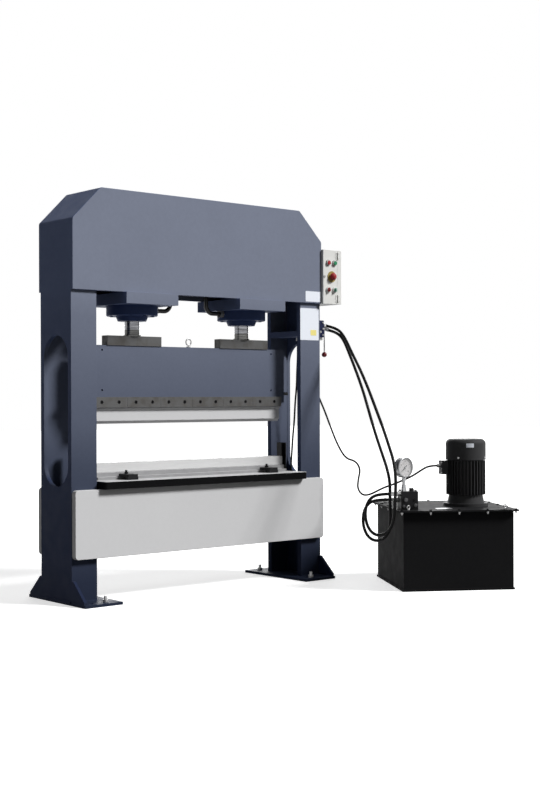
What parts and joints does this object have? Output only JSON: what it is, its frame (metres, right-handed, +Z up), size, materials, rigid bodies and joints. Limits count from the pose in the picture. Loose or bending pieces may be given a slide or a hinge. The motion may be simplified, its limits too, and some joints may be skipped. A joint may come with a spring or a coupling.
{
  "type": "hydraulic press",
  "caption": "Upright two-cylinder hydraulic press brake with ram, punch, grooved die, control box and hand valve, joined by hoses to a tank-top motor and pump unit.",
  "frame": {"origin": "on the floor, at the centre of the four anchor holes in the feet", "axes": "X along the bed, -Y is the working front, +Z up; the power unit stands at +X, -Y"},
  "size_m": [2.317, 1.4365, 1.973],
  "materials": {
    "frame_paint": "satin blue-grey enamel",
    "bed_paint": "satin light grey enamel",
    "raw_steel": "raw machined steel, lightly oiled",
    "bright_steel": "bright ground steel",
    "hard_chrome": "polished hard chrome",
    "black_steel": "black oxide",
    "black_paint": "satin black enamel",
    "box_paint": "light grey powder coat",
    "red_plastic": "moulded, glossy",
    "green_plastic": "moulded, glossy",
    "yellow_plastic": "moulded, satin",
    "black_plastic": "moulded, satin",
    "valve_paint": "dark blue enamel",
    "zinc_steel": "zinc plated",
    "dark_red_plastic": "moulded ball",
    "stainless": "brushed stainless",
    "clear_glass": "clear",
    "hose_rubber": "smooth black",
    "cable_rubber": "matte black"
  },
  "bodies": {
    "frame": {"column_left": "frame_paint", "column_right": "frame_paint", "foot_left": "frame_paint", "foot_right": "frame_paint", "levelling_screws": "zinc_steel", "head_front_plate": "frame_paint", "head_back_plate": "frame_paint", "head_cover": "frame_paint", "cylinder_plates": "frame_paint", "cylinder_left": "frame_paint", "cylinder_right": "frame_paint", "glands": "frame_paint", "bed_front_plate": "bed_paint", "bed_back_plate": "bed_paint", "bed_ribs": "frame_paint", "table": "bright_steel", "die_base": "bright_steel", "die": "bright_steel", "table_clamps": "black_steel", "stop_posts": "raw_steel", "control_box": "box_paint", "control_gear": "black_plastic", "valve_body": "valve_paint", "tank": "black_paint", "tank_lid": "black_paint", "lifting_eyes": "zinc_steel", "motor_body": "black_paint", "motor_cowl": "black_paint", "terminal_box": "black_paint", "pump": "black_steel", "manifold": "black_steel", "gauge_case": "stainless", "gauge_lens": "clear_glass", "hose_right": "hose_rubber", "hose_left": "hose_rubber", "motor_cable": "cable_rubber", "column_cable": "cable_rubber", "hose_fittings": "zinc_steel", "cylinder_pipe": "black_steel"},
    "ram": {"ram_beam": "frame_paint", "press_blocks": "raw_steel", "rod_left": "hard_chrome", "rod_right": "hard_chrome", "rod_ends": "black_steel", "guide_bars": "raw_steel", "eyebolt": "zinc_steel", "clamp_plates": "raw_steel", "clamp_bolts": "black_steel", "punch": "bed_paint"},
    "door": {"control_door": "box_paint", "estop_ring": "yellow_plastic"},
    "stop_button": {"stop_button": "red_plastic"},
    "start_button": {"start_button": "green_plastic"},
    "estop_button": {"estop_button": "red_plastic"},
    "selector_left": {"selector_left": "black_plastic"},
    "selector_right": {"selector_right": "black_plastic"},
    "lever": {"valve_lever": "dark_red_plastic"},
    "rotor": {"motor_rotor": "bright_steel"},
    "pointer": {"gauge_pointer": "black_plastic"},
    "relief": {"relief_knob": "zinc_steel"}
  },
  "joints": [
    {"name": "ram_slide", "type": "slide", "parent": "frame", "child": "ram", "axis": [0, 0, 1], "range_m": [-0.186, 0.05]},
    {"name": "door_hinge", "type": "hinge", "parent": "frame", "child": "door", "pos_m": [0.8925, -0.1715, 1.63], "axis": [0, 0, 1], "range_deg": [0, 110]},
    {"name": "stop_button_press", "type": "slide", "parent": "door", "child": "stop_button", "axis": [0, 1, 0], "range_m": [0, 0.004], "stiffness_N_per_m": 250, "springref_m": -0.004},
    {"name": "start_button_press", "type": "slide", "parent": "door", "child": "start_button", "axis": [0, 1, 0], "range_m": [0, 0.004], "stiffness_N_per_m": 250, "springref_m": -0.004},
    {"name": "estop_button_press", "type": "slide", "parent": "door", "child": "estop_button", "axis": [0, 1, 0], "range_m": [0, 0.005], "stiffness_N_per_m": 700, "springref_m": -0.004},
    {"name": "selector_left_turn", "type": "hinge", "parent": "door", "child": "selector_left", "pos_m": [0.823, -0.168, 1.559], "axis": [0, 1, 0], "range_deg": [-45, 45]},
    {"name": "selector_right_turn", "type": "hinge", "parent": "door", "child": "selector_right", "pos_m": [0.869, -0.168, 1.559], "axis": [0, 1, 0], "range_deg": [-45, 45]},
    {"name": "lever_pivot", "type": "hinge", "parent": "frame", "child": "lever", "pos_m": [0.853, -0.103, 1.366], "axis": [1, 0, 0], "range_deg": [-30, 0], "stiffness_Nm_per_rad": 1},
    {"name": "rotor_spin", "type": "hinge", "parent": "frame", "child": "rotor", "pos_m": [1.1844, -0.83236, 0.5], "axis": [0, 0, 1], "continuous": true},
    {"name": "pointer_turn", "type": "hinge", "parent": "frame", "child": "pointer", "pos_m": [0.763, -0.8, 0.618], "axis": [0, 1, 0], "range_deg": [0, 264]},
    {"name": "relief_turn", "type": "hinge", "parent": "frame", "child": "relief", "pos_m": [0.81311, -0.79334, 0.5], "axis": [0, 0, 1], "continuous": true}
  ]
}
